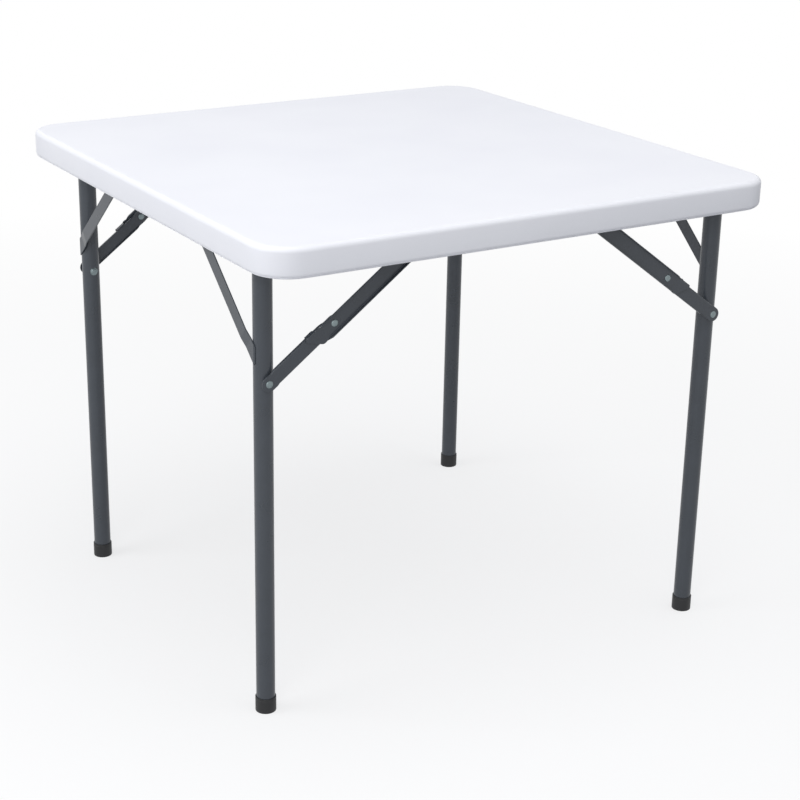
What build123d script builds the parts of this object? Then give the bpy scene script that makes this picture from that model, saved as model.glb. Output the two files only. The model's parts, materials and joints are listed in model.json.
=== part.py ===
from build123d import *
from collections import namedtuple
from math import hypot
import os

os.makedirs("parts", exist_ok=True)

# Folding card table, standing with its legs out. X runs along the rails, Z is up,
# and the origin is on the floor under the middle of the top. All lengths in millimetres.
top_width = 864.0
table_height = 740.0
cut_overrun = 2.0

# Running gaps: a shaft in its hole, and two flat faces that turn past each other
running_clearance = 0.1
turning_gap = 0.3

# Blow-moulded top: outer shell and the rim that hangs down around the frame
rim_depth = 44.0
top_corner_radius = 58.0
top_edge_radius = 8.0
lip_edge_radius = 8.0
rim_lip_width = 23.5
recess_corner_radius = 15.0
rim_draft_angle = 4.0
top_skin = 4.0

# Underside of the top: a middle field, a deeper band over each pair of folded legs,
# and seats for the rails
pivot_depth = 34.0
field_lift = 3.0
band_lift = 4.0
band_margin = 3.0
rail_seat_half_width = 8.0
side_ledge_width = 15.5
field_corner_radius = 8.0

# Moulded dimples that tie the two skins together, staggered from row to row
dimple_length = 17.0
dimple_width = 9.0
dimple_row_pitch = 33.3
dimple_column_pitch = 44.6
rim_notch_length = 29.0
rim_notch_depth = 5.5
rim_notch_inset = 2.0
rim_notch_lip = 6.0
side_pocket_length = 38.0
side_pocket_pitch = 66.0
side_pocket_inset = 13.5
side_pocket_depth = 4.5
pocket_rise = 11.0

# Rails, fixed to the top along its front and rear edges
rail_radius = 11.0
rail_wall = 1.2
rail_rim_gap = 1.5
rail_end_gap = 3.5
plug_dome = 11.0
plug_neck_gap = 1.5
screw_radius = 2.1
screw_hole_slack = 0.4
screw_head_radius = 4.5
screw_head_height = 2.4
screw_grip = 12.0
screw_end_gap = 37.0
screw_inner_share = 0.18

# Cross tubes: each turns in the two rails and carries a pair of legs
pivot_inset = 31.5
cross_radius = 11.0
tube_wall = 1.2
neck_radius = 7.0
swage_length = 6.0
rail_side_gap = 1.5
neck_reach = 8.0

# Legs and their feet
leg_radius = 14.0
wide_leg_inset = 29.5
leg_pair_spacing = 48.5
foot_cap_wall = 1.5
foot_cap_height = 24.0
foot_cap_floor = 4.0
foot_edge_chamfer = 1.5

# Flat corner braces, welded across each leg and its cross tube
corner_drop = 145.0
corner_reach = 167.0
corner_brace_width = 22.0
corner_brace_sheet = 2.0
corner_end_margin = 3.0
corner_brace_gap = 0.7
corner_flat = 16.0
corner_joggle = 16.0

# Folding braces: a lower link on the leg and an upper link on the rail, joined at an elbow
brace_leg_drop = 188.0
brace_rail_reach = 255.0
link_sheet = 1.5
upper_link_width = 26.0
upper_link_depth = 5.5
lower_link_depth = 4.5
link_leg_gap = 0.7
link_gap = 2.0
stop_reach = 49.0
stop_length = 18.0
heel_reach = 30.0
flange_setback = 13.0
rivet_radius = 3.0
rivet_head_radius = 5.5
rivet_head_height = 1.5
rivet_head_slope = 35.0
spacer_radius = 5.5
blind_bulb_radius = 4.2
blind_bulb_length = 3.0

# Brackets that carry the narrow frame's braces and let the folded wide legs lie inside
bracket_width = 30.0
bracket_sheet = 2.5
bracket_ear_gap = 0.5
bracket_ear_drop = 10.0
bracket_flange_drop = 6.0
bracket_bend_radius = 3.0
bracket_ear_radius = 9.0

# Clips that hold the folded wide legs
clip_share = 0.1
clip_length = 24.0
clip_wall = 2.5
clip_leg_gap = 0.5
clip_arm_drop = 6.0
clip_mouth_chamfer = 1.5

# Levels and lines that follow from the sizes above
pivot_z = table_height - pivot_depth
rim_bottom_z = table_height - rim_depth
ledge_z = pivot_z + rail_radius
field_z = ledge_z + field_lift
band_z = field_z + band_lift
dimple_top_z = table_height - top_skin
recess_half = top_width / 2 - rim_lip_width
field_half_x = recess_half - side_ledge_width
rail_y = recess_half - rail_rim_gap - rail_radius
rail_inner_y = rail_y - rail_radius
rail_half = recess_half - rail_end_gap - plug_dome
rail_bore = rail_radius - rail_wall
pivot_x = recess_half - pivot_inset
wide_leg_y = rail_inner_y - wide_leg_inset
narrow_leg_y = wide_leg_y - leg_pair_spacing
clip_x = clip_share * pivot_x
plug_spigot = rail_half - pivot_x - neck_radius - plug_neck_gap
band_inner_y = narrow_leg_y - leg_radius - band_margin
band_outer_y = rail_y - rail_seat_half_width
foot_cap_radius = leg_radius + foot_cap_wall
screw_reach = pivot_x - screw_end_gap
screw_places = [end * share * screw_reach for end in (-1, 1) for share in (1, screw_inner_share)]

# Folding brace, measured in its own upright plane. Folded, leg rivet, elbow and upper pivot
# lie in one line at the height of the leg's pivot, which fixes where the elbow is.
brace_length = hypot(brace_leg_drop, brace_rail_reach)
elbow_stowed = (brace_leg_drop + brace_rail_reach - brace_length) / 2
lower_link_length = brace_leg_drop - elbow_stowed
upper_link_length = brace_rail_reach - elbow_stowed
run_share = brace_rail_reach / brace_length
fall_share = brace_leg_drop / brace_length
lower_link_width = upper_link_width - 2 * (link_sheet + turning_gap)

# Stack of the folding brace, counted outwards from the leg's side
lower_inner = link_leg_gap
lower_outer = lower_inner + lower_link_depth
upper_inner = lower_outer + link_gap
upper_web_outer = upper_inner + link_sheet
upper_outer = upper_inner + upper_link_depth
bracket_inner = upper_outer + bracket_ear_gap
bracket_ear_outer = bracket_inner + bracket_sheet

# The four corners: which end, which side, and how far out the leg stands
Corner = namedtuple("Corner", "name end side leg_y")
corners = [
    Corner("narrow_front", -1, -1, narrow_leg_y),
    Corner("narrow_rear", -1, 1, narrow_leg_y),
    Corner("wide_front", 1, -1, wide_leg_y),
    Corner("wide_rear", 1, 1, wide_leg_y),
]
ends = {"narrow": (-1, narrow_leg_y), "wide": (1, wide_leg_y)}
sides = {"front": -1, "rear": 1}


def outward_plane(corner, x, z, out):
    """Upright plane parallel to the rails, out from the leg's side, facing away from the leg."""
    y = corner.side * (corner.leg_y + leg_radius + out)
    return Plane(origin=(x, y, z), x_dir=(1, 0, 0), z_dir=(0, corner.side, 0))


def upper_pivot_x(corner):
    return corner.end * (pivot_x - brace_rail_reach)


def brace_point(corner, distance):
    """Place on the straight, opened brace, counted from the upper pivot down to the leg."""
    x = upper_pivot_x(corner) + corner.end * run_share * distance
    return x, pivot_z - fall_share * distance


def link_plane(corner, start, out):
    """Plane of a link: its x runs down the brace, and it faces away from the leg."""
    x, z = brace_point(corner, start)
    y = corner.side * (corner.leg_y + leg_radius + out)
    down = (corner.end * run_share, 0, -fall_share)
    return Plane(origin=(x, y, z), x_dir=down, z_dir=(0, corner.side, 0))


def upper_edge_sign(corner):
    """Which way the link plane's y points: 1 where it points at the brace's upper edge."""
    return -corner.end * corner.side


def dimple_places():
    """Centres of the staggered dimples, as many rows and columns as fit the underside."""
    rows = int((band_outer_y - dimple_width) / dimple_row_pitch)
    columns = int((field_half_x - dimple_length) / dimple_column_pitch)
    places = []
    for row in range(-rows, rows + 1):
        if row % 2:
            shares = list(range(-columns, columns + 1))
        else:
            shares = [column + 0.5 for column in range(-columns, columns)]
        places += [(share * dimple_column_pitch, row * dimple_row_pitch) for share in shares]
    return places


def rim_notch_places():
    """Centres of the notches in the rim beside the rails."""
    columns = int((field_half_x - dimple_length) / dimple_column_pitch)
    reach = rim_notch_depth + rim_notch_inset
    y = recess_half + rim_notch_depth - reach / 2
    return [
        ((column + 0.5) * dimple_column_pitch, side * y)
        for side in (-1, 1)
        for column in range(-columns, columns)
    ]


def side_pocket_places():
    """Centres of the pockets between the pilasters of the two rim walls at the table's ends."""
    straight = recess_half - recess_corner_radius - side_pocket_length / 2
    count = int(straight / side_pocket_pitch)
    x = recess_half + (side_pocket_depth - side_pocket_inset) / 2
    return [
        (end * x, row * side_pocket_pitch) for end in (-1, 1) for row in range(-count, count + 1)
    ]


# Top panel: rounded block, open recess under it, then the moulded pattern
with BuildPart() as top_panel:
    with BuildSketch(Plane.XY.offset(rim_bottom_z)):
        RectangleRounded(top_width, top_width, top_corner_radius)
    extrude(amount=rim_depth)
    fillet(top_panel.faces().sort_by(Axis.Z)[-1].edges(), top_edge_radius)
    fillet(top_panel.faces().sort_by(Axis.Z)[0].edges(), lip_edge_radius)
    with BuildSketch(Plane(origin=(0, 0, ledge_z), z_dir=(0, 0, -1))):
        RectangleRounded(2 * recess_half, 2 * recess_half, recess_corner_radius)
    extrude(amount=ledge_z - rim_bottom_z, taper=-rim_draft_angle, mode=Mode.SUBTRACT)
    with BuildSketch(Plane.XY.offset(ledge_z)):
        RectangleRounded(2 * field_half_x, 2 * band_outer_y, field_corner_radius)
    extrude(amount=field_lift, mode=Mode.SUBTRACT)
    with BuildSketch(Plane.XY.offset(field_z)):
        for side in (-1, 1):
            with Locations((0, side * (band_inner_y + band_outer_y) / 2)):
                RectangleRounded(2 * field_half_x, band_outer_y - band_inner_y, field_corner_radius)
    extrude(amount=band_lift, mode=Mode.SUBTRACT)
    with BuildSketch(Plane.XY.offset(ledge_z)):
        with Locations(*dimple_places()):
            Rectangle(dimple_length, dimple_width)
    extrude(amount=dimple_top_z - ledge_z, mode=Mode.SUBTRACT)
    with BuildSketch(Plane.XY.offset(rim_bottom_z + rim_notch_lip)):
        with Locations(*rim_notch_places()):
            Rectangle(rim_notch_length, rim_notch_depth + rim_notch_inset)
    extrude(amount=ledge_z + pocket_rise - rim_bottom_z - rim_notch_lip, mode=Mode.SUBTRACT)
    with BuildSketch(Plane.XY.offset(rim_bottom_z + rim_notch_lip)):
        with Locations(*side_pocket_places()):
            Rectangle(side_pocket_depth + side_pocket_inset, side_pocket_length)
    extrude(amount=ledge_z + pocket_rise - rim_bottom_z - rim_notch_lip, mode=Mode.SUBTRACT)
    with BuildSketch(Plane.XY.offset(ledge_z)):
        with Locations(*[(x, side * rail_y) for side in (-1, 1) for x in screw_places]):
            Circle(screw_radius)
    extrude(amount=screw_grip, mode=Mode.SUBTRACT)
top_panel.part.label = "top_panel"
export_step(top_panel.part, "parts/top_panel.step")


# Rails: round tubes with holes for the cross tubes, the screws and the wide frame's braces
for side_name, side in sides.items():
    with BuildPart() as rail:
        with BuildSketch(Plane.YZ.offset(-rail_half)):
            with Locations((side * rail_y, pivot_z)):
                Circle(rail_radius)
                Circle(rail_bore, mode=Mode.SUBTRACT)
        extrude(amount=2 * rail_half)
        inner_face = Plane(origin=(0, side * rail_y, pivot_z), x_dir=(1, 0, 0), z_dir=(0, -side, 0))
        with BuildSketch(inner_face):
            with Locations((-pivot_x, 0), (pivot_x, 0)):
                Circle(neck_radius + running_clearance)
            with Locations((pivot_x - brace_rail_reach, 0)):
                Circle(rivet_radius)
        extrude(amount=rail_radius + cut_overrun, mode=Mode.SUBTRACT)
        with BuildSketch(Plane.XY.offset(pivot_z - rail_radius - cut_overrun)):
            with Locations(*[(x, side * rail_y) for x in screw_places]):
                Circle(screw_radius + screw_hole_slack)
        extrude(amount=2 * (rail_radius + cut_overrun), mode=Mode.SUBTRACT)
    rail.part.label = f"rail_{side_name}"
    export_step(rail.part, f"parts/rail_{side_name}.step")


# Rail end plugs: a spigot pushed into the tube and a domed cap
with BuildPart() as rail_end_plugs:
    for end in (-1, 1):
        for side in (-1, 1):
            with BuildSketch(Plane.XY.offset(pivot_z)):
                with BuildLine():
                    Polyline(
                        (end * rail_half, side * rail_y + rail_radius),
                        (end * rail_half, side * rail_y + rail_bore),
                        (end * (rail_half - plug_spigot), side * rail_y + rail_bore),
                        (end * (rail_half - plug_spigot), side * rail_y),
                        (end * (rail_half + plug_dome), side * rail_y),
                    )
                    EllipticalCenterArc(
                        (end * rail_half, side * rail_y),
                        plug_dome,
                        rail_radius,
                        start_angle=0 if end > 0 else 90,
                        arc_size=90,
                    )
                make_face()
            revolve(axis=Axis((0, side * rail_y, pivot_z), (1, 0, 0)))
rail_end_plugs.part.label = "rail_end_plugs"
export_step(rail_end_plugs.part, "parts/rail_end_plugs.step")


# Screws up through the rails into the top
with BuildPart() as rail_screws:
    screw_points = [(x, side * rail_y) for side in (-1, 1) for x in screw_places]
    with BuildSketch(Plane.XY.offset(pivot_z - rail_radius)):
        with Locations(*screw_points):
            Circle(screw_radius)
    extrude(amount=2 * rail_radius + screw_grip)
    with BuildSketch(Plane(origin=(0, 0, pivot_z - rail_radius), x_dir=(1, 0, 0), z_dir=(0, 0, -1))):
        with Locations(*screw_points):
            Circle(screw_head_radius)
    extrude(amount=screw_head_height, taper=rivet_head_slope / 2)
rail_screws.part.label = "rail_screws"
export_step(rail_screws.part, "parts/rail_screws.step")


# Leg frames: cross tube, two coped legs, two foot caps and two corner braces at each end
for end_name, (end, leg_y) in ends.items():
    x = end * pivot_x
    neck_start = rail_inner_y - rail_side_gap
    neck_end = rail_inner_y + neck_reach
    with BuildPart() as cross_tube:
        with BuildSketch(Plane.XY.offset(pivot_z)):
            with BuildLine():
                Polyline(
                    (x + cross_radius - tube_wall, 0),
                    (x + cross_radius, 0),
                    (x + cross_radius, neck_start - swage_length),
                    (x + neck_radius, neck_start),
                    (x + neck_radius, neck_end),
                    (x + neck_radius - tube_wall, neck_end),
                    (x + neck_radius - tube_wall, neck_start),
                    (x + cross_radius - tube_wall, neck_start - swage_length),
                    close=True,
                )
            make_face()
        revolve(axis=Axis((x, 0, pivot_z), (0, 1, 0)))
        mirror(about=Plane.XZ)
    cross_tube.part.label = f"{end_name}_cross_tube"
    export_step(cross_tube.part, f"parts/{end_name}_cross_tube.step")

    for side_name, side in sides.items():
        with BuildPart() as leg:
            with BuildSketch(Plane.XY.offset(foot_cap_floor)):
                with Locations((x, side * leg_y)):
                    Circle(leg_radius)
                    Circle(leg_radius - tube_wall, mode=Mode.SUBTRACT)
            extrude(amount=pivot_z - foot_cap_floor)
            with BuildSketch(Plane(origin=(x, 0, pivot_z), x_dir=(1, 0, 0), z_dir=(0, 1, 0))):
                Circle(cross_radius)
            extrude(amount=leg_y + leg_radius + cut_overrun, both=True, mode=Mode.SUBTRACT)
            with BuildSketch(
                Plane(origin=(x, 0, pivot_z - brace_leg_drop), x_dir=(1, 0, 0), z_dir=(0, side, 0))
            ):
                Circle(rivet_radius)
            extrude(amount=leg_y + leg_radius + cut_overrun, mode=Mode.SUBTRACT)
        leg.part.label = f"{end_name}_leg_{side_name}"
        export_step(leg.part, f"parts/{end_name}_leg_{side_name}.step")

        with BuildPart() as foot_cap:
            with BuildSketch(Plane.XY):
                with Locations((x, side * leg_y)):
                    Circle(foot_cap_radius)
            extrude(amount=foot_cap_height)
            chamfer(foot_cap.faces().sort_by(Axis.Z)[0].edges(), foot_edge_chamfer)
            with BuildSketch(Plane.XY.offset(foot_cap_floor)):
                with Locations((x, side * leg_y)):
                    Circle(leg_radius + running_clearance)
            extrude(amount=foot_cap_height, mode=Mode.SUBTRACT)
        foot_cap.part.label = f"{end_name}_foot_cap_{side_name}"
        export_step(foot_cap.part, f"parts/{end_name}_foot_cap_{side_name}.step")

        # The brace is drawn from the side, along its slope, and mitred along both tubes
        strip_length = hypot(corner_drop, corner_reach)
        slope = (0, -side * corner_reach / strip_length, corner_drop / strip_length)
        lift = foot_cap_radius + corner_brace_gap
        strip_plane = Plane(
            origin=(x, side * leg_y, pivot_z - corner_drop),
            x_dir=slope,
            z_dir=(0, end * slope[2], -end * slope[1]),
        )
        inner_edge = [
            (-corner_brace_width, leg_radius),
            (corner_flat, leg_radius),
            (corner_flat + corner_joggle, lift),
            (strip_length - corner_flat - corner_joggle, lift),
            (strip_length - corner_flat, cross_radius),
            (strip_length + corner_brace_width, cross_radius),
        ]
        outer_edge = [(along, out + corner_brace_sheet) for along, out in reversed(inner_edge)]
        with BuildPart() as corner_brace:
            with BuildSketch(strip_plane):
                with BuildLine():
                    Polyline(*inner_edge, *outer_edge, close=True)
                make_face()
            extrude(amount=corner_brace_width / 2, both=True)
            with BuildSketch(Plane.YZ.offset(x)):
                with Locations(
                    (
                        side * (leg_y + corner_end_margin - strip_length / 2),
                        pivot_z + corner_end_margin - strip_length / 2,
                    )
                ):
                    Rectangle(strip_length, strip_length)
            extrude(amount=end * top_width / 2, mode=Mode.INTERSECT)
        corner_brace.part.label = f"{end_name}_corner_brace_{side_name}"
        export_step(corner_brace.part, f"parts/{end_name}_corner_brace_{side_name}.step")


def make_rivet(corner, x, z, steps, heads):
    """Rivet square to the brace: round steps (start, finish, radius) and heads (start, way),
    all counted outwards from the leg's side."""
    side_y = corner.leg_y + leg_radius
    with BuildPart() as rivet:
        for start, finish, radius in steps:
            with BuildSketch(outward_plane(corner, x, z, start)):
                Circle(radius)
            extrude(amount=finish - start)
        for start, way in heads:
            y = corner.side * (side_y + start)
            with BuildSketch(Plane(origin=(x, y, z), x_dir=(1, 0, 0), z_dir=(0, way * corner.side, 0))):
                Circle(rivet_head_radius)
            extrude(amount=rivet_head_height, taper=rivet_head_slope)
    return rivet.part


def make_spacer(corner, finish):
    """Ring on the upper pivot, from the upper link's web out to what carries the rivet."""
    start = upper_web_outer + turning_gap
    with BuildPart() as spacer:
        with BuildSketch(outward_plane(corner, upper_pivot_x(corner), pivot_z, start)):
            Circle(spacer_radius)
            Circle(rivet_radius, mode=Mode.SUBTRACT)
        extrude(amount=finish - start)
    return spacer.part


# Leg rivets: the part of each lower pivot that stays in the leg, with its inner head
leg_rivet_z = pivot_z - brace_leg_drop
for end_name, (end, leg_y) in ends.items():
    rivets = [
        make_rivet(
            corner,
            end * pivot_x,
            leg_rivet_z,
            steps=[(-2 * leg_radius, 0, rivet_radius)],
            heads=[(-2 * leg_radius, -1)],
        )
        for corner in corners
        if corner.end == end
    ]
    with BuildPart() as leg_rivets:
        add(rivets)
    leg_rivets.part.label = f"{end_name}_leg_rivets"
    export_step(leg_rivets.part, f"parts/{end_name}_leg_rivets.step")


# Folding braces: channel links with round ends, side by side so that they fold past each other
for corner in corners:
    up = upper_edge_sign(corner)
    half = upper_link_width / 2
    elbow = upper_link_length
    with BuildPart() as upper_link:
        with BuildSketch(link_plane(corner, 0, upper_inner)):
            with BuildLine():
                Polyline(
                    (0, up * half),
                    (elbow + stop_reach, up * half),
                    (elbow + stop_reach, up * (half - link_sheet)),
                    (elbow + heel_reach, -up * half),
                    (0, -up * half),
                )
                ThreePointArc((0, -up * half), (-half, 0), (0, up * half))
            make_face()
            with Locations((0, 0)):
                Circle(rivet_radius + running_clearance, mode=Mode.SUBTRACT)
            with Locations((elbow, 0)):
                Circle(rivet_radius, mode=Mode.SUBTRACT)
        extrude(amount=link_sheet)
        flange_far = elbow + heel_reach - flange_setback
        with BuildSketch(link_plane(corner, 0, upper_inner)):
            for edge in (-1, 1):
                with Locations(
                    ((flange_setback + flange_far) / 2, edge * (half - link_sheet / 2))
                ):
                    Rectangle(flange_far - flange_setback, link_sheet)
        extrude(amount=upper_link_depth)
        with BuildSketch(link_plane(corner, 0, lower_inner + turning_gap)):
            with Locations((elbow + stop_reach - stop_length / 2, up * (half - link_sheet / 2))):
                Rectangle(stop_length, link_sheet)
        extrude(amount=upper_inner - lower_inner)
    upper_link.part.label = f"{corner.name}_upper_link"
    export_step(upper_link.part, f"parts/{corner.name}_upper_link.step")

    half = lower_link_width / 2
    with BuildPart() as lower_link:
        with BuildSketch(link_plane(corner, elbow, lower_outer - link_sheet)):
            with Locations((lower_link_length / 2, 0)):
                SlotCenterToCenter(lower_link_length, lower_link_width)
            with Locations((0, 0)):
                Circle(rivet_radius + running_clearance, mode=Mode.SUBTRACT)
            with Locations((lower_link_length, 0)):
                Circle(rivet_radius, mode=Mode.SUBTRACT)
        extrude(amount=link_sheet)
        with BuildSketch(link_plane(corner, elbow, lower_inner)):
            for edge in (-1, 1):
                with Locations((lower_link_length / 2, edge * (half - link_sheet / 2))):
                    Rectangle(lower_link_length - 2 * flange_setback, link_sheet)
        extrude(amount=lower_link_depth)
    lower_link.part.label = f"{corner.name}_lower_link"
    export_step(lower_link.part, f"parts/{corner.name}_lower_link.step")

    # Elbow rivet: a collar keeps the two webs apart, and the upper link carries it
    elbow_x, elbow_z = brace_point(corner, elbow)
    inner_head = lower_outer - link_sheet - turning_gap
    elbow_shape = make_rivet(
        corner,
        elbow_x,
        elbow_z,
        steps=[
            (inner_head, upper_web_outer, rivet_radius),
            (lower_outer + turning_gap, upper_inner, rivet_head_radius),
        ],
        heads=[(inner_head, -1), (upper_web_outer, 1)],
    )
    with BuildPart() as elbow_rivet:
        add(elbow_shape)
    elbow_rivet.part.label = f"{corner.name}_elbow_rivet"
    export_step(elbow_rivet.part, f"parts/{corner.name}_elbow_rivet.step")

    # Outer half of the lower pivot, carried by the lower link
    lower_shape = make_rivet(
        corner,
        corner.end * pivot_x,
        leg_rivet_z,
        steps=[(turning_gap, lower_outer, rivet_radius)],
        heads=[(lower_outer, 1)],
    )
    with BuildPart() as lower_rivet:
        add(lower_shape)
    lower_rivet.part.label = f"{corner.name}_lower_rivet"
    export_step(lower_rivet.part, f"parts/{corner.name}_lower_rivet.step")


# Upper pivots of the wide frame: blind rivets in the rails, with a spacer on each
rail_side = rail_inner_y - wide_leg_y - leg_radius
blind_wall = rail_y - (rail_bore**2 - blind_bulb_radius**2) ** 0.5 - wide_leg_y - leg_radius
upper_head = upper_inner - turning_gap
rail_rivet_shapes = [
    make_rivet(
        corner,
        upper_pivot_x(corner),
        pivot_z,
        steps=[
            (upper_head, blind_wall, rivet_radius),
            (blind_wall, blind_wall + blind_bulb_length, blind_bulb_radius),
        ],
        heads=[(upper_head, -1)],
    )
    for corner in corners[2:]
]
with BuildPart() as rail_brace_rivets:
    add(rail_rivet_shapes)
rail_brace_rivets.part.label = "rail_brace_rivets"
export_step(rail_brace_rivets.part, "parts/rail_brace_rivets.step")

rail_spacer_shapes = [make_spacer(corner, rail_side) for corner in corners[2:]]
with BuildPart() as rail_brace_spacers:
    add(rail_spacer_shapes)
rail_brace_spacers.part.label = "rail_brace_spacers"
export_step(rail_brace_spacers.part, "parts/rail_brace_spacers.step")


# Upper pivots of the narrow frame: a bent bracket beside each rail, a rivet and a spacer
for corner in corners[:2]:
    x = upper_pivot_x(corner)
    leg_side = corner.leg_y + leg_radius
    ear_y = leg_side + bracket_inner
    ear_bottom = pivot_z - bracket_ear_drop
    flange_bottom = pivot_z - bracket_flange_drop
    side_name = corner.name.split("_")[1]
    outline = [
        (ear_y, ear_bottom),
        (ear_y, band_z),
        (rail_inner_y, band_z),
        (rail_inner_y, flange_bottom),
        (rail_inner_y - bracket_sheet, flange_bottom),
        (rail_inner_y - bracket_sheet, band_z - bracket_sheet),
        (ear_y + bracket_sheet, band_z - bracket_sheet),
        (ear_y + bracket_sheet, ear_bottom),
    ]
    with BuildPart() as brace_bracket:
        with BuildSketch(Plane.YZ.offset(x - bracket_width / 2)) as bracket_section:
            with BuildLine():
                Polyline(*[(corner.side * y, z) for y, z in outline], close=True)
            make_face()
            for column in (0, -1):
                bend = bracket_section.vertices().group_by(Axis.X)[column].sort_by(Axis.Y)[-1]
                fillet(bend, bracket_bend_radius)
        extrude(amount=bracket_width)
        ear_corners = brace_bracket.edges().filter_by(Axis.Y).group_by(Axis.Z)[0]
        fillet(ear_corners, bracket_ear_radius)
        with BuildSketch(outward_plane(corner, x, pivot_z, bracket_inner - cut_overrun)):
            Circle(rivet_radius)
        extrude(amount=bracket_sheet + 2 * cut_overrun, mode=Mode.SUBTRACT)
    brace_bracket.part.label = f"brace_bracket_{side_name}"
    export_step(brace_bracket.part, f"parts/brace_bracket_{side_name}.step")

bracket_rivet_shapes = [
    make_rivet(
        corner,
        upper_pivot_x(corner),
        pivot_z,
        steps=[(upper_head, bracket_ear_outer, rivet_radius)],
        heads=[(upper_head, -1), (bracket_ear_outer, 1)],
    )
    for corner in corners[:2]
]
with BuildPart() as bracket_brace_rivets:
    add(bracket_rivet_shapes)
bracket_brace_rivets.part.label = "bracket_brace_rivets"
export_step(bracket_brace_rivets.part, "parts/bracket_brace_rivets.step")

bracket_spacer_shapes = [make_spacer(corner, bracket_inner) for corner in corners[:2]]
with BuildPart() as bracket_brace_spacers:
    add(bracket_spacer_shapes)
bracket_brace_spacers.part.label = "bracket_brace_spacers"
export_step(bracket_brace_spacers.part, "parts/bracket_brace_spacers.step")


# Leg clips: saddles under the top that the folded wide legs press into
clip_bore_half = leg_radius + clip_leg_gap
with BuildPart() as leg_clips:
    for side in (-1, 1):
        with BuildSketch(Plane.YZ.offset(clip_x - clip_length / 2)) as clip_section:
            with Locations((side * wide_leg_y, (band_z + pivot_z - clip_arm_drop) / 2)):
                Rectangle(2 * (clip_bore_half + clip_wall), band_z - pivot_z + clip_arm_drop)
            with Locations((side * wide_leg_y, (band_z - clip_wall + pivot_z - clip_arm_drop) / 2)):
                Rectangle(
                    2 * clip_bore_half,
                    band_z - clip_wall - pivot_z + clip_arm_drop,
                    mode=Mode.SUBTRACT,
                )
            mouth = clip_section.vertices().group_by(Axis.Y)[0].sort_by(Axis.X)
            chamfer(mouth[1:3], clip_mouth_chamfer)
        extrude(amount=clip_length)
leg_clips.part.label = "leg_clips"
export_step(leg_clips.part, "parts/leg_clips.step")
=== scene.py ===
import json
import math

import bmesh
import bpy
from mathutils import Matrix, Vector
from mathutils.geometry import delaunay_2d_cdt


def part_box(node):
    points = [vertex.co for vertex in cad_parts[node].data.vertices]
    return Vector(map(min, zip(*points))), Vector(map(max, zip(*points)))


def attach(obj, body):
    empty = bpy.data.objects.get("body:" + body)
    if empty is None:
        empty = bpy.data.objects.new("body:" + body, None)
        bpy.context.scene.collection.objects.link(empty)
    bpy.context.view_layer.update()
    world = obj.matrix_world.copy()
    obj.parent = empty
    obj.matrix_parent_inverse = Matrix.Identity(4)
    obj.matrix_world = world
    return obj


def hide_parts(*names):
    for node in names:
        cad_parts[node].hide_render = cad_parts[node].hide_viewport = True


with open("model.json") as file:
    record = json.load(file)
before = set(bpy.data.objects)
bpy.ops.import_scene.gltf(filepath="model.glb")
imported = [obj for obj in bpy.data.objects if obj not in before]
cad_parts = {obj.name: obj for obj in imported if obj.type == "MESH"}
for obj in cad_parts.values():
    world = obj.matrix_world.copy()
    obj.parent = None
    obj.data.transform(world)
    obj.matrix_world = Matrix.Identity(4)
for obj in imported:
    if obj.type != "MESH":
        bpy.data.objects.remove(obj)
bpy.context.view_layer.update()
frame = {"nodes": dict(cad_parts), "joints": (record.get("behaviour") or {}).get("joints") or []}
print("frame loaded:", len(frame["nodes"]), "CAD nodes")

mm = 0.001  # shapes are drawn in millimetres and turned to metres when a piece is made
legRadius = 14.0  # the folding braces, clips and corner braces all go by the legs' tube
sideSigns = {"front": -1, "rear": 1}
cornerSigns = [(1, 1), (-1, 1), (-1, -1), (1, -1)]  # the corners of a ring, counter-clockwise
joints = {joint["name"]: joint for joint in frame["joints"]}


def linear(hexColour):
    # sRGB hex to the linear colour that the shaders want
    parts = [int(hexColour[i:i + 2], 16) / 255 for i in (1, 3, 5)]
    return [c / 12.92 if c <= 0.04045 else ((c + 0.055) / 1.055) ** 2.4 for c in parts] + [1.0]


def addNode(tree, kind, settings, links=()):
    node = tree.nodes.new(kind)
    for key, value in settings.items():
        if isinstance(key, int) or key in node.inputs:
            node.inputs[key].default_value = value
        else:
            setattr(node, key, value)
    for key, source in links:
        tree.links.new(source, node.inputs[key])
    return node


def boxOf(node):
    low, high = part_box(node)
    return low / mm, high / mm


def centreOf(node):
    low, high = boxOf(node)
    return (low + high) / 2


def legFace(end, side):
    # how far out the outer side of a leg lies, where its folding brace is
    return abs(centreOf(f"{end}_leg_{side}").y) + legRadius


def softened(points, radii, steps=4, closed=False):
    # the same line with its corners rounded, by one radius for each point
    mostOfRun = 0.49  # a corner takes less than half of each run beside it
    count = len(points)
    line = []
    for i, point in enumerate(points):
        here = Vector(point)
        isEnd = not closed and i in (0, count - 1)
        if isEnd or radii[i] <= 0:
            line.append(here)
            continue
        before = Vector(points[i - 1]) - here
        after = Vector(points[(i + 1) % count]) - here
        turn = math.pi - before.angle(after)
        cut = min(radii[i] * math.tan(turn / 2), mostOfRun * before.length, mostOfRun * after.length)
        start = here + before.normalized() * cut
        finish = here + after.normalized() * cut
        for step in range(steps + 1):
            t = step / steps
            line.append(start * (1 - t) ** 2 + here * 2 * t * (1 - t) + finish * t ** 2)
    return line


def loftRings(bm, rings, capStart=False, capEnd=False, closed=True):
    loops = [[bm.verts.new(point) for point in ring] for ring in rings]
    count = len(loops[0])
    for a, b in zip(loops, loops[1:]):
        for i in range(count if closed else count - 1):
            j = (i + 1) % count
            bm.faces.new((a[i], a[j], b[j], b[i]))
    if capStart:
        bm.faces.new(loops[0][::-1])
    if capEnd:
        bm.faces.new(loops[-1])


def axisPlace(origin, direction):
    # a place whose Z runs along direction
    turn = Vector(direction).to_track_quat("Z", "Y").to_matrix().to_4x4()
    return Matrix.Translation(Vector(origin)) @ turn


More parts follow.
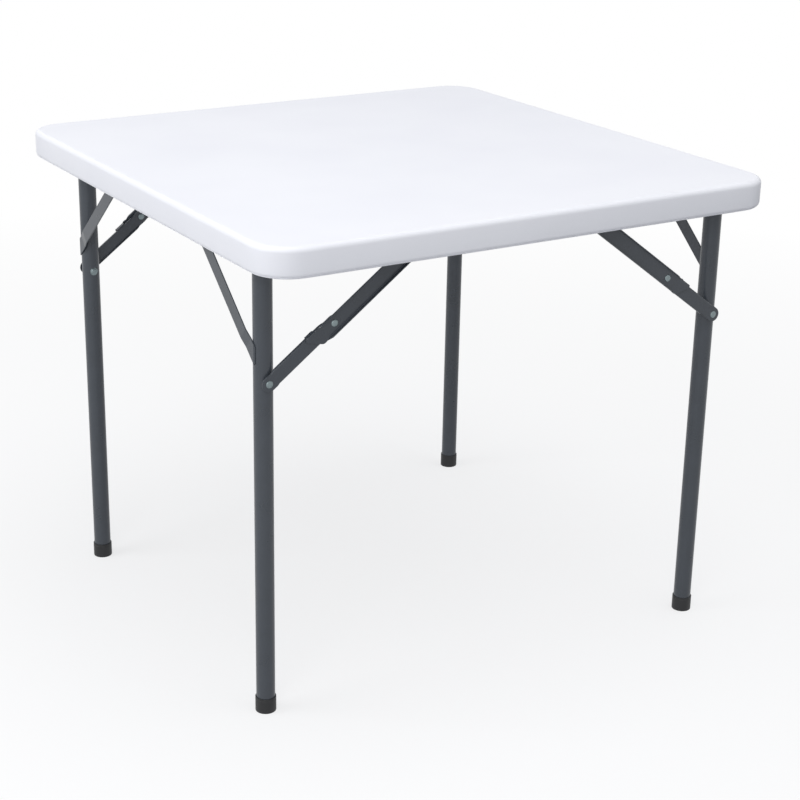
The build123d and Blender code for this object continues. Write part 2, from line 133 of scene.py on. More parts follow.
def circle(radius, segments):
    angles = [2 * math.pi * i / segments for i in range(segments)]
    return [(radius * math.cos(angle), radius * math.sin(angle)) for angle in angles]


def turned(bm, place, profile, segments, capped=True):
    # a turned shape; profile is (distance along the axis, radius)
    rings = []
    for along, radius in profile:
        rings.append([place @ Vector((x, y, along)) for x, y in circle(radius, segments)])
    loftRings(bm, rings, capped, capped)


def domeProfile(start, rise, radius, steps, fullness=1.0):
    # a dome; steps isn't whole, so the last ring stops short of the axis and a cap closes it
    profile = []
    for step in range(1, int(steps) + 1):
        angle = math.radians(90 * step / steps)
        profile.append((start + rise * math.sin(angle), radius * math.cos(angle) ** fullness))
    return profile


weld = {"sides": 8, "waveTurn": 2.1, "endShare": 0.35}


def weldBead(bm, path, radius, ripple):
    # a bead laid along path, with the small waves that a hand weld leaves
    last = len(path) - 1
    rings = []
    for i, point in enumerate(path):
        along = Vector(path[min(i + 1, last)]) - Vector(path[max(i - 1, 0)])
        place = axisPlace(point, along)
        swell = radius * (1 + ripple * math.sin(i * weld["waveTurn"]))
        if i in (0, last):
            swell *= weld["endShare"]
        rings.append([place @ Vector((x, y, 0)) for x, y in circle(swell, weld["sides"])])
    loftRings(bm, rings, True, True)


def addObject(name, data):
    thing = bpy.data.objects.new(name, data)
    bpy.context.scene.collection.objects.link(thing)
    return thing


def addMesh(bm, name, material):
    mesh = bpy.data.meshes.new(name)
    bm.to_mesh(mesh)
    bm.free()
    mesh.materials.append(material)
    return addObject(name, mesh)


def makePiece(bm, name, body, slot, nodes, sharpDegrees=38):
    mergeMm = 0.0005
    bmesh.ops.remove_doubles(bm, verts=bm.verts, dist=mergeMm)
    bmesh.ops.recalc_face_normals(bm, faces=bm.faces)
    for edge in bm.edges:
        if len(edge.link_faces) == 2:
            edge.smooth = edge.calc_face_angle(0) < math.radians(sharpDegrees)
    for face in bm.faces:
        face.smooth = True
    bmesh.ops.scale(bm, vec=(mm, mm, mm), verts=bm.verts)
    piece = addMesh(bm, name, finishes[slot])
    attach(piece, body)
    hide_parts(*nodes)
    return piece


def easeEdges(piece, width, fromDegrees):
    bevel = piece.modifiers.new("edges", "BEVEL")
    bevel.width = width * mm
    bevel.segments = 2
    bevel.limit_method = "ANGLE"
    bevel.angle_limit = math.radians(fromDegrees)
    bevel.harden_normals = True


def thicken(piece, sheet, edge):
    # turns a pressed surface into sheet of that thickness, with its cut edges eased
    solid = piece.modifiers.new("sheet", "SOLIDIFY")
    solid.thickness = sheet * mm
    solid.offset = 0
    solid.use_even_offset = True
    easeEdges(piece, edge, fromDegrees=50)


def startMaterial(name):
    # a new material, its tree and shader, and the link that lays a pattern out in the object's metres
    material = bpy.data.materials.new(name)
    material.use_nodes = True
    tree = material.node_tree
    where = addNode(tree, "ShaderNodeTexCoord", {}).outputs["Object"]
    return material, tree, tree.nodes["Principled BSDF"], [("Vector", where)]


def repeats(sizeMm):
    # how many times a pattern of this size fits in a metre
    return 1 / (sizeMm * mm)


# High-density polyethylene, blow-moulded in a blasted tool: a dry white with a fine pebble
# that breaks up the highlights, and a faint waviness where the wall shrank.
polyethylene = {
    "name": "polyethylene_blow_moulded", "colour": "#F3F4F8", "shade": "#EBECF2",
    "IOR": 1.54, "Specular IOR Level": 0.3, "roughness": (0.5, 0.61), "glossFollows": "grain",
    "toneMm": 180.0, "toneDetail": 2.0,
    "grainMm": 1.6,  # the real pebble is about 0.5 mm, too fine to show
    "grainDeepMm": 0.035, "waveMm": 70.0, "waveDeepMm": 0.12,
}
# Steel tube and strip, grey polyester powder coat: a hard satin skin with orange peel,
# so its highlights are bright but have soft, slightly broken edges.
powderCoat = {
    "name": "steel_grey_powder_coated", "colour": "#4A4F56", "shade": "#40454B",
    "IOR": 1.52, "Specular IOR Level": 0.4, "roughness": (0.23, 0.35), "glossFollows": "tone",
    "toneMm": 35.0, "toneDetail": 3.0,
    "grainMm": 2.2,  # real orange peel is about 1 mm across, too fine to show
    "grainDeepMm": 0.03,
}
# Zinc-plated steel, tumbled and passivated: a cool, dull metal with a cloudy sheen.
zincPlate = {
    "name": "steel_zinc_plated", "colour": "#8F9B9D", "shade": "#6C777A",
    "Metallic": 1.0, "roughness": (0.32, 0.52), "glossFollows": "tone",
    "toneMm": 3.0, "toneDetail": 3.0,
    "grainMm": 0.8,  # coarser than the real marks, which are too fine to show
    "grainDeepMm": 0.02,
}
# Polypropylene, injection-moulded in black: a soft satin with a fine spark texture.
polypropylene = {
    "name": "polypropylene_black_moulded", "colour": "#1B1C1F", "shade": "#121315",
    "IOR": 1.49, "roughness": (0.44, 0.58), "glossFollows": "grain",
    "toneMm": 12.0, "toneDetail": 2.0,
    "grainMm": 1.2,  # coarser than the real texture, which is too fine to show
    "grainDeepMm": 0.04,
}


def makeFinish(look):
    # the colour drifts between two shades, and the gloss follows that tone or the grain
    material, tree, shader, at = startMaterial(look["name"])
    for socket in ("IOR", "Specular IOR Level", "Metallic"):
        if socket in look:
            shader.inputs[socket].default_value = look[socket]
    tone = addNode(tree, "ShaderNodeTexNoise", {
        "Scale": repeats(look["toneMm"]), "Detail": look["toneDetail"],
    }, at).outputs["Fac"]
    colour = addNode(tree, "ShaderNodeMix", {
        "data_type": "RGBA", 6: linear(look["shade"]), 7: linear(look["colour"]),
    }, [(0, tone)])
    tree.links.new(colour.outputs[2], shader.inputs["Base Color"])
    grain = addNode(tree, "ShaderNodeTexNoise", {
        "Scale": repeats(look["grainMm"]), "Detail": 1.0,
    }, at).outputs["Fac"]
    gloss = addNode(tree, "ShaderNodeMapRange", {
        "To Min": look["roughness"][0], "To Max": look["roughness"][1],
    }, [("Value", tone if look["glossFollows"] == "tone" else grain)])
    tree.links.new(gloss.outputs[0], shader.inputs["Roughness"])
    skin = addNode(tree, "ShaderNodeBump", {"Distance": look["grainDeepMm"] * mm}, [("Height", grain)])
    tree.links.new(skin.outputs[0], shader.inputs["Normal"])
    if "waveMm" in look:
        wave = addNode(tree, "ShaderNodeTexNoise", {
            "Scale": repeats(look["waveMm"]), "Detail": 0.0,
        }, at).outputs["Fac"]
        waves = addNode(tree, "ShaderNodeBump", {"Distance": look["waveDeepMm"] * mm}, [("Height", wave)])
        tree.links.new(waves.outputs[0], skin.inputs["Normal"])
    return material


finishes = {
    "white_plastic": makeFinish(polyethylene),
    "grey_steel": makeFinish(powderCoat),
    "zinc": makeFinish(zincPlate),
    "black_plastic": makeFinish(polypropylene),
}
print("finishes ready")


topMoulding = {
    "cornerRadius": 58.0, "cornerSteps": 12, "edgeRadius": 8.0, "edgeSteps": 8, "edgeRun": 3.0,
    "lipRadius": 8.0, "lipRun": 1.0, "innerLipRadius": 3.0, "innerLipSteps": 4,
    "recessHalf": 408.5, "recessCorner": 15.0, "draftDegrees": 4.0,
    "ledgeZ": 717.0, "fieldZ": 720.0, "bandZ": 724.0, "bandY": 290.0,
    "fieldHalfX": 393.0, "fieldHalfY": 388.0, "fieldCorner": 8.0,
    "notchLength": 29.0, "notchColumns": 8, "pocketLength": 38.0, "pocketPitch": 66.0, "pocketRows": 5,
    "endDraft": 0.8,
    # the lip in degrees below level, sunk in where the two halves of the mould pinch the wall
    "lipArc": [
        (0, 0), (11, 0), (22, 0), (31, 0), (33, 0.25), (35, 1.0), (46, 1.0), (48, 0.25), (50, 0),
        (59, 0), (69, 0), (79, 0), (90, 0),
    ],
    # the rim's inner side in (half width, z), down its wall and along the ledge, and the same
    # places where a pocket is let into the wall
    "wallStartZ": 701.2, "wallZ": (703.0, 706.0, 709.0, 713.0, 715.6),
    "wallFoot": [(406.9, 716.8), (405.8, 717.0)],
    "ledgeX": [(400.0, 717.0), (395.6, 717.0)],
    "ledgeY": [(405.4, 717.0), (405.0, 717.0)],
    "pocketX": [
        (409.8, 702.0), (412.0, 702.5), (413.0, 704.0), (413.0, 725.8), (411.2, 728.0),
        (397.0, 728.0), (395.3, 726.2), (394.9, 719.0), (394.6, 717.4),
    ],
    "pocketY": [
        (409.8, 702.0), (413.0, 702.5), (414.0, 704.0), (414.0, 726.0), (412.6, 728.0),
        (408.4, 728.0), (406.9, 726.5), (406.5, 719.0), (406.1, 717.3),
    ],
    # the step from the field up to each band: (past bandY, z)
    "bandStep": [
        (-1.6, 720.0), (-0.9, 720.1), (-0.3, 720.5), (0.0, 721.2),
        (0.05, 722.8), (0.35, 723.5), (0.95, 723.9), (1.7, 724.0),
    ],
    # the step from the ledge up to the field: (outwards, from the level, on the field)
    "fieldEdge": [
        (1.1, 0.0, False), (0.35, 0.3, False), (0.0, 1.0, False),
        (0.0, 1.0, True), (-0.35, 0.3, True), (-1.1, 0.0, True), (-2.4, 0.0, True),
    ],
    # each dimple: (outwards, above the face) at its mouth, (outwards, below its top) at its floor
    "dimple": (17.0, 9.0), "dimpleCorner": 2.6, "dimpleLeastCorner": 0.6, "dimpleTopZ": 736.0,
    "dimplePitch": (44.6, 33.3), "dimpleCount": (8, 11),
    "dimpleMouth": [(1.8, 0.0), (1.0, 0.0), (0.3, 0.3), (0.0, 1.1)],
    "dimpleFloor": [(-0.9, 1.2), (-1.3, 0.4), (-2.1, 0.0)],
}


def topStations(length, centres, extra=()):
    # where the rim's inner side changes along one edge: (place, inside a pocket)
    draft = topMoulding["endDraft"]
    stations = [(place, False) for place in extra]
    for centre in centres:
        for end in (-1, 1):
            edge = centre + end * length / 2
            stations.append((edge + end * draft / 2, False))
            stations.append((edge - end * draft / 2, True))
    return sorted(stations)


def topRim():
    # rows of the rim's section, from the top face over the edge and lip to the underside;
    # each row is (x plain, x pocket, y plain, y pocket, corner radius), every place (half width, z)
    look = topMoulding
    low, high = boxOf("top_panel")
    half = high.x
    edge, lip, inner = look["edgeRadius"], look["lipRadius"], look["innerLipRadius"]
    cornerCentre = half - look["cornerRadius"]
    recessCentre = look["recessHalf"] - look["recessCorner"]
    slope = math.tan(math.radians(look["draftDegrees"]))
    rows = []

    def plainRow(place, centre):
        rows.append((place, place, place, place, place[0] - centre))

    def arcRow(x, z, radius, degrees, centre):
        angle = math.radians(degrees)
        plainRow((x + radius * math.cos(angle), z + radius * math.sin(angle)), centre)

    def wall(z):
        return look["recessHalf"] + (look["ledgeZ"] - z) * slope, z

    plainRow((half - edge - look["edgeRun"], high.z), cornerCentre)
    for step in range(look["edgeSteps"] + 1):
        arcRow(half - edge, high.z - edge, edge, 90 - 90 * step / look["edgeSteps"], cornerCentre)
    for degrees, sunk in look["lipArc"]:
        arcRow(half - lip, low.z + lip, lip - sunk, -degrees, cornerCentre)
    lipEdge = wall(low.z)[0]
    plainRow((half - lip - look["lipRun"], low.z), cornerCentre)
    plainRow((lipEdge + inner + look["lipRun"], low.z), recessCentre)
    for step in range(look["innerLipSteps"] + 1):
        degrees = -90 - (90 - look["draftDegrees"]) * step / look["innerLipSteps"]
        arcRow(lipEdge + inner, low.z + inner, inner, degrees, recessCentre)
    plainRow(wall(look["wallStartZ"]), recessCentre)
    walls = [wall(z) for z in look["wallZ"]] + look["wallFoot"]
    xPlains = walls + look["ledgeX"]
    yPlains = walls + look["ledgeY"]
    for xPlain, xPocket, yPlain, yPocket in zip(xPlains, look["pocketX"], yPlains, look["pocketY"]):
        rows.append((xPlain, xPocket, yPlain, yPocket, xPlain[0] - recessCentre))
    return rows


def topRing(row, xStations, yStations):
    # one ring round the top, counter-clockwise seen from above, starting at the right-hand side
    xPlain, xPocket, yPlain, yPocket, corner = row
    cornerSteps = topMoulding["cornerSteps"]
    ring = []
    for quarter in range(4):
        alongX = quarter % 2 == 0
        sign = 1 if quarter in (0, 1) else -1
        stations = xStations if alongX else yStations
        plain, pocket = (xPlain, xPocket) if alongX else (yPlain, yPocket)
        for place, inPocket in stations[::-1] if quarter in (1, 2) else stations:
            reach, z = pocket if inPocket else plain
            ring.append(Vector((sign * reach, place, z) if alongX else (place, sign * reach, z)))
        cornerX, cornerY = cornerSigns[quarter]
        centre = Vector((cornerX * (xPlain[0] - corner), cornerY * (yPlain[0] - corner), 0))
        for step in range(1, cornerSteps):
            angle = math.radians(90 * quarter + 90 * step / cornerSteps)
            ring.append(centre + Vector((corner * math.cos(angle), corner * math.sin(angle), xPlain[1])))
    return ring


def dimplePlaces():
    look = topMoulding
    columns, rows = look["dimpleCount"]
    pitchX, pitchY = look["dimplePitch"]
    places = []
    for row in range(-rows, rows + 1):
        odd = row % 2
        shift = 0 if odd else 0.5
        places += [((column + shift) * pitchX, row * pitchY) for column in range(-columns, columns + odd)]
    return places


def dimpleRing(centre, out):
    look = topMoulding
    steps = 3
    halfX = look["dimple"][0] / 2 + out
    halfY = look["dimple"][1] / 2 + out
    corner = max(look["dimpleCorner"] + out, look["dimpleLeastCorner"])
    ring = []
    for quarter, (signX, signY) in enumerate(cornerSigns):
        for step in range(steps + 1):
            angle = math.radians(90 * quarter + 90 * step / steps)
            ring.append((
                centre[0] + signX * (halfX - corner) + corner * math.cos(angle),
                centre[1] + signY * (halfY - corner) + corner * math.sin(angle),
            ))
    return ring


def fillFlat(bm, outline, holes, z):
    # a level face in triangles, with a hole in it for each ring in holes
    insideOnly, tolerance = 1, 0.0001
    points, rings = [], []
    for ring in [outline] + holes:
        rings.append(list(range(len(points), len(points) + len(ring))))
        points += [Vector((p[0], p[1])) for p in ring]
    spots, _, faces, _, _, origins = delaunay_2d_cdt(points, [], rings, insideOnly, tolerance)
    made = [bm.verts.new((p.x, p.y, z)) for p in spots]
    for face, inRings in zip(faces, origins):
        if list(inRings) == [0]:
            bm.faces.new([made[i] for i in face])


def bandSteps(sides=(-1, 1)):
    look = topMoulding
    return [(side * (look["bandY"] + past), z) for side in sides for past, z in look["bandStep"]]


def levelAt(y):
    # how high the underside lies at y: the field, a band or the step between them
    look = topMoulding
    level = look["fieldZ"] if abs(y) < look["bandY"] else look["bandZ"]
    return {round(stepY, 3): z for stepY, z in bandSteps()}.get(round(y, 3), level)


def fieldRings(xStations, yStations):
    look = topMoulding
    rings = []
    for out, fromLevel, onField in look["fieldEdge"]:
        x, y = look["fieldHalfX"] + out, look["fieldHalfY"] + out
        ring = topRing(((x, 0), (x, 0), (y, 0), (y, 0), look["fieldCorner"] + out), xStations, yStations)
        for point in ring:
            point.z = levelAt(point.y) - fromLevel if onField else look["ledgeZ"] + fromLevel
        rings.append(ring)
    return rings


def addLevels(bm, edgeRing, dimples):
    # the level faces of the field and the two bands, with a hole for each dimple
    look = topMoulding
    near = look["bandY"] + look["bandStep"][0][0]
    far = look["bandY"] + look["bandStep"][-1][0]
    end, field, band = look["fieldHalfY"], look["fieldZ"], look["bandZ"]
    mouth, slack = look["dimpleMouth"][0][0], 0.001
    for low, high, z in ((-near, near, field), (far, end, band), (-end, -far, band)):
        outline = [p for p in edgeRing if low - slack <= p.y <= high + slack]
        middle = sum(outline, Vector()) / len(outline)
        outline.sort(key=lambda p: math.atan2(p.y - middle.y, p.x - middle.x))
        holes = [dimpleRing(place, mouth) for place in dimples if low < place[1] < high]
        fillFlat(bm, outline, holes, z)


def addBandSteps(bm):
    look = topMoulding
    inset = look["fieldHalfX"] + look["fieldEdge"][-1][0]
    for side in (-1, 1):
        rows = [[(-inset, y, z), (inset, y, z)] for y, z in bandSteps([side])]
        loftRings(bm, rows, closed=False)


def addDimples(bm, dimples):
    # eased edge, drafted wall and round floor
    look = topMoulding
    for centre in dimples:
        face = levelAt(centre[1])
        section = [(out, face + above) for out, above in look["dimpleMouth"]]
        section += [(out, look["dimpleTopZ"] - below) for out, below in look["dimpleFloor"]]
        rings = [[(x, y, z) for x, y in dimpleRing(centre, out)] for out, z in section]
        loftRings(bm, rings, capEnd=True)


def makeTop():
    look = topMoulding
    pocketRows, notchColumns = look["pocketRows"], look["notchColumns"]
    pocketCentres = [row * look["pocketPitch"] for row in range(-pocketRows, pocketRows + 1)]
    notchCentres = [(column + 0.5) * look["dimplePitch"][0] for column in range(-notchColumns, notchColumns)]
    xStations = topStations(look["pocketLength"], pocketCentres, [y for y, _ in bandSteps()])
    yStations = topStations(look["notchLength"], notchCentres)
    dimples = dimplePlaces()
    bm = bmesh.new()
    rings = [topRing(row, xStations, yStations) for row in topRim()]
    rings += fieldRings(xStations, yStations)
    loftRings(bm, rings, capStart=True)
    addLevels(bm, rings[-1], dimples)
    addBandSteps(bm)
    addDimples(bm, dimples)
    return makePiece(bm, "blow_moulded_top", "root", "white_plastic", ["top_panel"])


top = makeTop()
print("top moulded:", len(top.data.polygons), "faces")


railTube = {"segments": 64, "endRound": 0.5, "chamferShare": 0.3, "wall": 1.2, "runs": 40}


def railAt(side):
    # the middle of a rail, its radius and how far out it ends
    low, high = boxOf(f"rail_{side}")
    return (low + high) / 2, (high.z - low.z) / 2, high.x


def makeRail(side):
    look = railTube
    middle, radius, reach = railAt(side)
    ease = look["endRound"]
    soft = ease * look["chamferShare"]
    end = [
        (reach - ease, radius), (reach - soft, radius - soft), (reach, radius - ease),
        (reach, radius - look["wall"]),
    ]
    run = 2 * (reach - ease)
    stations = [(ease - reach + run * i / look["runs"], radius) for i in range(1, look["runs"])]
    profile = [(-along, r) for along, r in end[::-1]] + stations + end
    bm = bmesh.new()
    place = axisPlace((0, middle.y, middle.z), (1, 0, 0))
    turned(bm, place, profile + [profile[0]], look["segments"], capped=False)
    makePiece(bm, f"rail_tube_{side}", "root", "grey_steel", [f"rail_{side}"])


endPlug = {
    "segments": 48, "spigot": 7.0, "spigotIn": 1.3, "lip": 0.2, "lipLength": 1.6, "domeSteps": 9.4,
}


def makeEndPlugs():
    look = endPlug
    domeEnd = boxOf("rail_end_plugs")[1].x
    lip, lipLength = look["lip"], look["lipLength"]
    bm = bmesh.new()
    for end in (-1, 1):
        for side in sideSigns:
            middle, radius, reach = railAt(side)
            inner = radius - look["spigotIn"]
            profile = [(-look["spigot"], inner), (0.0, inner), (0.0, radius - lip), (lip, radius)]
            profile.append((lipLength, radius))
            profile += domeProfile(lipLength, domeEnd - reach - lipLength, radius, look["domeSteps"])
            place = axisPlace((end * reach, middle.y, middle.z), (end, 0, 0))
            turned(bm, place, profile, look["segments"])
    makePiece(bm, "rail_end_plug_domes", "root", "black_plastic", ["rail_end_plugs"])


panScrew = {
    "head": 4.5, "height": 2.4, "segments": 48, "rings": 15, "innerShare": 0.18,
    "crownPower": 4, "crownFullness": 0.6,
    "slot": 0.62, "slotReach": 2.5, "slotDeep": 1.5, "slotEase": 0.7,
    "brim": 0.9, "brimSlope": 0.6, "brimHeight": 0.9, "brimSegments": 40, "sink": 0.1,
}


def screwHead(bm, x, y, z):
    # pan head with a cross recess, pressed into its crown
    look = panScrew
    rings = []
    for step in range(look["rings"]):
        r = look["head"] * (1 - step / look["rings"])
        dome = look["height"] * (1 - (r / look["head"]) ** look["crownPower"]) ** look["crownFullness"]
        ring = []
        for px, py in circle(r, look["segments"]):
            narrow, wide = sorted((abs(px), abs(py)))
            crown = dome
            if narrow < look["slot"] and wide < look["slotReach"]:
                crown -= look["slotDeep"] * min(1.0, (look["slotReach"] - wide) / look["slotEase"])
            ring.append((x + px, y + py, z - crown))
        rings.append(ring)
    loftRings(bm, rings, capStart=True, capEnd=True)


def makeScrews():
    look = panScrew
    seat = boxOf("rail_front")[0].z
    outer = boxOf("rail_screws")[1].x - look["head"]
    inner = outer * look["innerShare"]
    collar = look["head"] + look["brim"]
    profile = [(0, look["head"]), (look["brimSlope"], collar), (look["brimHeight"], collar)]
    bm = bmesh.new()
    for side in sideSigns:
        y = centreOf(f"rail_{side}").y
        for x in (-outer, -inner, inner, outer):
            screwHead(bm, x, y, seat)
            turned(bm, axisPlace((x, y, seat - look["sink"]), (0, 0, 1)), profile, look["brimSegments"])
    makePiece(bm, "rail_pan_screws", "root", "zinc", ["rail_screws"], sharpDegrees=60)


rivet = {
    "segments": 40, "radius": 5.5, "crown": 1.7, "shank": 3.0, "brim": 0.2, "brimIn": 0.15,
    "domeSteps": 7.3, "fullness": 0.8, "collar": 5.5, "collarEdge": 5.2, "collarEase": 0.3,
}
# the links' upper pivots, measured out from the leg's face
upperPivot = {"linkFace": 6.9, "spacerFace": 9.0, "crown": 1.5, "tail": 2.0, "shank": 4.0}


def rivetHead(bm, centre, way, shank):
    # domed head that faces way along Y, on a shank that runs back into the joint
    look = rivet
    profile = [
        (-shank, look["shank"]), (0.0, look["shank"]), (0.0, look["radius"] - look["brimIn"]),
        (look["brim"], look["radius"]),
    ]
    rise = look["crown"] - look["brim"]
    profile += domeProfile(look["brim"], rise, look["radius"], look["domeSteps"], look["fullness"])
    turned(bm, axisPlace(centre, (0, way, 0)), profile, look["segments"])


def addSpacer(bm, centre, way, length):
    # a short ring round the rivet, its edges eased
    look = rivet
    ease, edge, collar = look["collarEase"], look["collarEdge"], look["collar"]
    profile = [
        (0, look["shank"]), (0, edge), (ease, collar),
        (length - ease, collar), (length, edge), (length, look["shank"]),
    ]
    turned(bm, axisPlace(centre, (0, way, 0)), profile, look["segments"])


def makeUpperRivets(end, carrier):
    look = upperPivot
    rivetNode, spacerNode = f"{carrier}_brace_rivets", f"{carrier}_brace_spacers"
    outer = boxOf(rivetNode)[1].y
    spacerEnd = boxOf(spacerNode)[1].y
    middle = centreOf(spacerNode)
    rivets = bmesh.new()
    spacers = bmesh.new()
    for side, sign in sideSigns.items():
        flank = legFace(end, side)
        inner = flank + look["linkFace"]
        start = flank + look["spacerFace"]
        rivetHead(rivets, (middle.x, sign * inner, middle.z), -sign, outer - inner - look["tail"])
        if carrier == "bracket":
            head = (middle.x, sign * (outer - look["crown"]), middle.z)
            rivetHead(rivets, head, sign, look["shank"])
        addSpacer(spacers, (middle.x, sign * start, middle.z), sign, spacerEnd - start)
    makePiece(rivets, f"{end}_upper_pivot_rivets", "root", "zinc", [rivetNode])
    makePiece(spacers, f"{end}_upper_pivot_spacers", "root", "zinc", [spacerNode])


for railSide in sideSigns:
    makeRail(railSide)
makeEndPlugs()
makeScrews()
makeUpperRivets("wide", "rail")
makeUpperRivets("narrow", "bracket")
print("rails ready")


bracketSheet = {
    "sheet": 2.5, "bend": 3.4, "bendSteps": 6, "edge": 0.35, "acrossShares": (-1, -0.6, 0, 0.6, 1),
    "earCorner": 9.0, "earSteps": 8,
    "flangeZ": 700.0, "flangeCorner": 2.5, "flangeStops": (2.5, 1.2, 0.4, 0.0),
}


def roundedHalf(half, radius, left):
    # half the width at a distance left from an end, within the round of its corners
    return half - radius + math.sqrt(radius ** 2 - (radius - left) ** 2)


def makeBracket(side):
    # a folded strip: the ear at its near end has large round corners, and the flange at the far
    # end has small ones
    look = bracketSheet
    node = f"brace_bracket_{side}"
    low, high = boxOf(node)
    near, far = sorted((abs(low.y), abs(high.y)))
    x = (low.x + high.x) / 2
    half = (high.x - low.x) / 2
    skin = look["sheet"] / 2
    line = [
        (near + skin, low.z), (near + skin, high.z - skin), (far - skin, high.z - skin),
        (far - skin, look["flangeZ"]),
    ]
    path = softened(line, [0, look["bend"], look["bend"], 0], look["bendSteps"])
    up = (path[1] - path[0]).normalized()
    down = (path[-2] - path[-1]).normalized()

    def rowAt(point, wide):
        y = sideSigns[side] * point[0]
        return [(x + wide * share, y, point[1]) for share in look["acrossShares"]]

    rows = []
    for i in range(look["earSteps"] + 1):
        left = look["earCorner"] * (1 - math.cos(math.radians(90 * i / look["earSteps"])))
        rows.append(rowAt(path[0] + up * left, roundedHalf(half, look["earCorner"], left)))
    rows += [rowAt(point, half) for point in path[1:-1]]
    for left in look["flangeStops"]:
        rows.append(rowAt(path[-1] + down * left, roundedHalf(half, look["flangeCorner"], left)))
    bm = bmesh.new()
    loftRings(bm, rows, closed=False)
    piece = makePiece(bm, f"brace_bracket_sheet_{side}", "root", "grey_steel", [node])
    thicken(piece, look["sheet"], look["edge"])


legClip = {
    "wall": 2.5, "gap": 0.5, "lead": 1.5, "ease": 0.6, "cornerSteps": 3,
    # one radius for each point of the outline, from its upper left corner round
    "corners": [1.2, 1.2, 0.8, 0.4, 1.0, 2.0, 2.0, 1.0, 0.4, 0.8],
}


def makeClips():
    low, high = boxOf("leg_clips")
    wall, lead = legClip["wall"], legClip["lead"]
    bore = legRadius + legClip["gap"]
    bm = bmesh.new()
    for side in sideSigns:
        y = centreOf(f"wide_leg_{side}").y
        outline = [
            (y - bore - wall, high.z), (y + bore + wall, high.z), (y + bore + wall, low.z),
            (y + bore + lead, low.z), (y + bore, low.z + lead), (y + bore, high.z - wall),
            (y - bore, high.z - wall), (y - bore, low.z + lead), (y - bore - lead, low.z),
            (y - bore - wall, low.z),
        ]
        loop = softened(outline, legClip["corners"], legClip["cornerSteps"], closed=True)
        loftRings(bm, [[(x, p[0], p[1]) for p in loop] for x in (low.x, high.x)], True, True)
    piece = makePiece(bm, "leg_clip_saddles", "root", "black_plastic", ["leg_clips"])
    easeEdges(piece, legClip["ease"], fromDegrees=60)


for bracketSide in sideSigns:
    makeBracket(bracketSide)
makeClips()
print("brackets and clips ready")


crossTube = {
    "segments": 64, "radius": 11.0, "wall": 1.2, "neck": 7.0, "neckLength": 9.5, "neckEase": 1.0,
    "swage": 6.0, "swageEase": 1.5, "swageRound": 3.0,
}


def makeCrossTube(end):
    # a tube whose ends are swaged down to the necks that turn in the rails' holes
    look = crossTube
    node = f"{end}_cross_tube"
    middle = centreOf(node)
    reach = boxOf(node)[1].y
    radius, neck, bend = look["radius"], look["neck"], look["swageRound"]
    neckStart = reach - look["neckLength"]
    swageStart = neckStart - look["swage"]
    half = [
        (0.0, radius), (swageStart - look["swageEase"], radius), (swageStart, radius),
        (neckStart, neck), (neckStart + look["neckEase"], neck), (reach, neck),
    ]
    rounded = softened(half, [0, 0, bend, bend, 0, 0])
    profile = [(-p[0], p[1]) for p in rounded[::-1]] + [(p[0], p[1]) for p in rounded[1:]]
    bore = neck - look["wall"]
    profile += [(reach, bore), (-reach, bore), profile[0]]
    bm = bmesh.new()
    place = axisPlace((middle.x, 0, middle.z), (0, 1, 0))
    turned(bm, place, profile, look["segments"], capped=False)
    makePiece(bm, f"{end}_cross_tube_swaged", f"{end}_leg_frame", "grey_steel", [node])


legTube = {
    "segments": 64, "wall": 1.2, "rings": 24, "aboveFoot": 20.0, "belowPivot": 24.0,
    "bead": 1.7, "beadRipple": 0.12, "beadSteps": 3,
}


def makeLeg(end, side):
    look = legTube
    node = f"{end}_leg_{side}"
    middle = centreOf(node)
    footZ = boxOf(node)[0].z
    pivotZ = centreOf(f"{end}_cross_tube").z
    cope = crossTube["radius"]
    bore = legRadius - look["wall"]

    def ringAt(radius, level=None):
        # level, or cut to the round of the cross tube where no level is given
        ring = []
        for across, deep in circle(radius, look["segments"]):
            copeZ = pivotZ - math.sqrt(max(0.0, cope ** 2 - across ** 2))
            z = copeZ if level is None else level
            ring.append(Vector((middle.x + across, middle.y + deep, z)))
        return ring

    start = footZ + look["aboveFoot"]
    rise = pivotZ - look["belowPivot"] - start
    rings = [ringAt(legRadius, footZ)]
    for i in range(look["rings"] + 1):
        rings.append(ringAt(legRadius, start + rise * i / look["rings"]))
    coped = ringAt(legRadius)
    rings += [coped, ringAt(bore), ringAt(bore, footZ), rings[0]]
    bm = bmesh.new()
    loftRings(bm, rings)
    # a weld round the cope, one run on each side of the leg
    seam = [p for p in coped if abs(p.x - middle.x) < cope]
    steps = look["beadSteps"]
    for way in (-1, 1):
        line = sorted((p for p in seam if (p.y - middle.y) * way > 0), key=lambda p: p.x)
        dense = []
        for a, b in zip(line, line[1:]):
            dense += [a.lerp(b, t / steps) for t in range(steps)]
        weldBead(bm, dense + [line[-1]], look["bead"], look["beadRipple"])
    makePiece(bm, f"{end}_leg_tube_{side}", f"{end}_leg_frame", "grey_steel", [node])


footCap = {
    "segments": 64, "wall": 1.4, "floor": 4.0, "edge": 2.4, "soleCentre": 3.0, "skirt": 6.0,
    "roundSteps": 5, "lip": 0.7, "lipShare": 0.3, "mouth": 0.2, "mouthDeep": 0.3,
    # a shallow groove round the cap: (below its top, depth)
    "groove": [(3.4, 0.0), (3.0, 0.35), (2.4, 0.35), (2.0, 0.0)],
    "grooveRounds": [0.3, 0.2, 0.2, 0.3],
}


